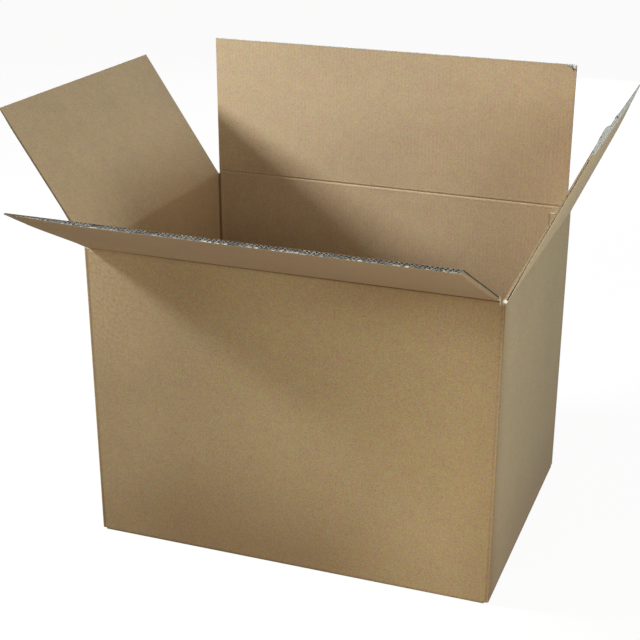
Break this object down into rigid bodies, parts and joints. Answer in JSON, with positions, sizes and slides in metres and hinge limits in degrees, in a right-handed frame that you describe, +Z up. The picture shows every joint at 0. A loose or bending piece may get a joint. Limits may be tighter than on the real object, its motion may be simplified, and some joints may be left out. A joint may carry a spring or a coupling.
{
  "type": "corrugated pallet box",
  "caption": "Slotted carton of double-wall corrugated board, open at the top with hinged closing flaps and a closed bottom, for shipping goods on a pallet.",
  "frame": {"origin": "on the floor under the middle of the box, beside the seam of the long floor flaps", "axes": "+Z up, +X along the long side to the right of the front wall, front wall towards -Y"},
  "size_m": [1.0859, 0.8406, 0.884],
  "materials": {
    "kraft_board": "uncoated kraft liner, matt",
    "kraft_flap": "uncoated kraft liner, matt"
  },
  "bodies": {
    "carton": {"carton": "kraft_board"},
    "front_flap": {"front_flap": "kraft_flap"},
    "back_flap": {"back_flap": "kraft_flap"},
    "left_flap": {"left_flap": "kraft_flap"},
    "right_flap": {"right_flap": "kraft_flap"}
  },
  "joints": [
    {"name": "front_crease", "type": "hinge", "parent": "carton", "child": "front_flap", "pos_m": [0, -0.2908, 0.594], "axis": [1, 0, 0], "range_deg": [-152.5, 97.5]},
    {"name": "back_crease", "type": "hinge", "parent": "carton", "child": "back_flap", "pos_m": [0, 0.2908, 0.594], "axis": [-1, 0, 0], "range_deg": [-90, 160]},
    {"name": "left_crease", "type": "hinge", "parent": "carton", "child": "left_flap", "pos_m": [-0.3958, 0, 0.5866], "axis": [0, -1, 0], "range_deg": [-123.5, 126.5]},
    {"name": "right_crease", "type": "hinge", "parent": "carton", "child": "right_flap", "pos_m": [0.3958, 0, 0.5866], "axis": [0, 1, 0], "range_deg": [-115.5, 134.5]}
  ]
}
